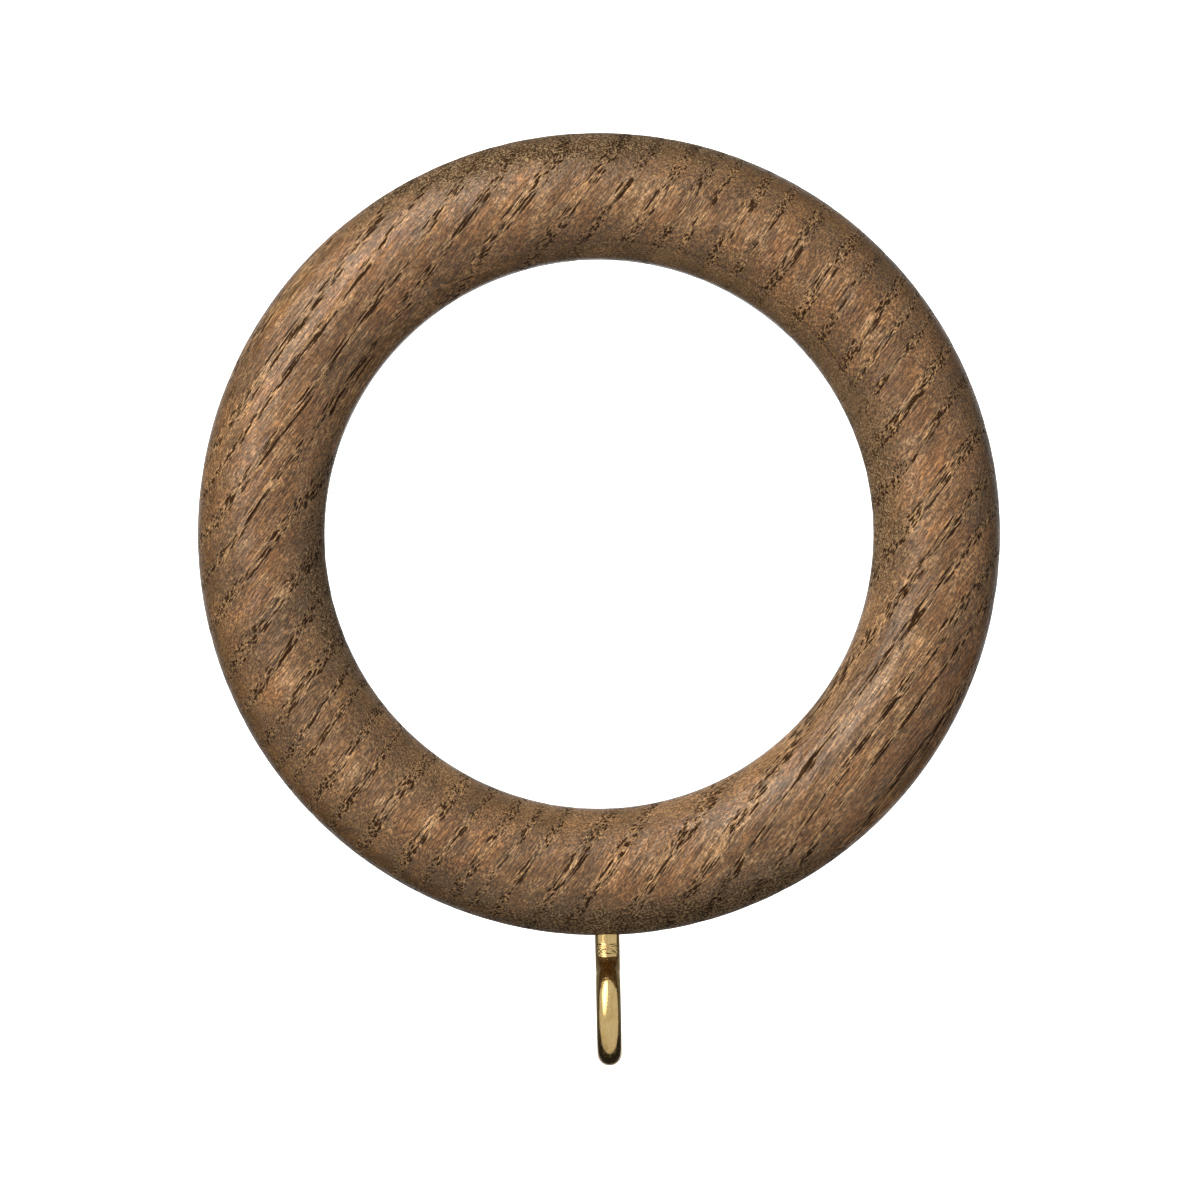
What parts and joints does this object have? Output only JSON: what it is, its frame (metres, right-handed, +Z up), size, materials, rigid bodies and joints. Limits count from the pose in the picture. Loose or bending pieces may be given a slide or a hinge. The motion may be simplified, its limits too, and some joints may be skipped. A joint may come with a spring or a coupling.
{
  "type": "curtain ring",
  "caption": "Turned wooden ring that slides along a curtain pole, with a bent-wire brass screw eye in its rim for the curtain hook.",
  "frame": {"origin": "centre of the ring, on the axis of the pole it runs on", "axes": "+Y along the pole, +Z up; the screw eye hangs on -Z"},
  "size_m": [0.092, 0.0148, 0.1069],
  "materials": {
    "stained_wood": "walnut stain under satin lacquer",
    "brass_wire": "polished, lacquered"
  },
  "bodies": {
    "root": {"wood_ring": "stained_wood", "screw_eye": "brass_wire"}
  },
  "joints": []
}
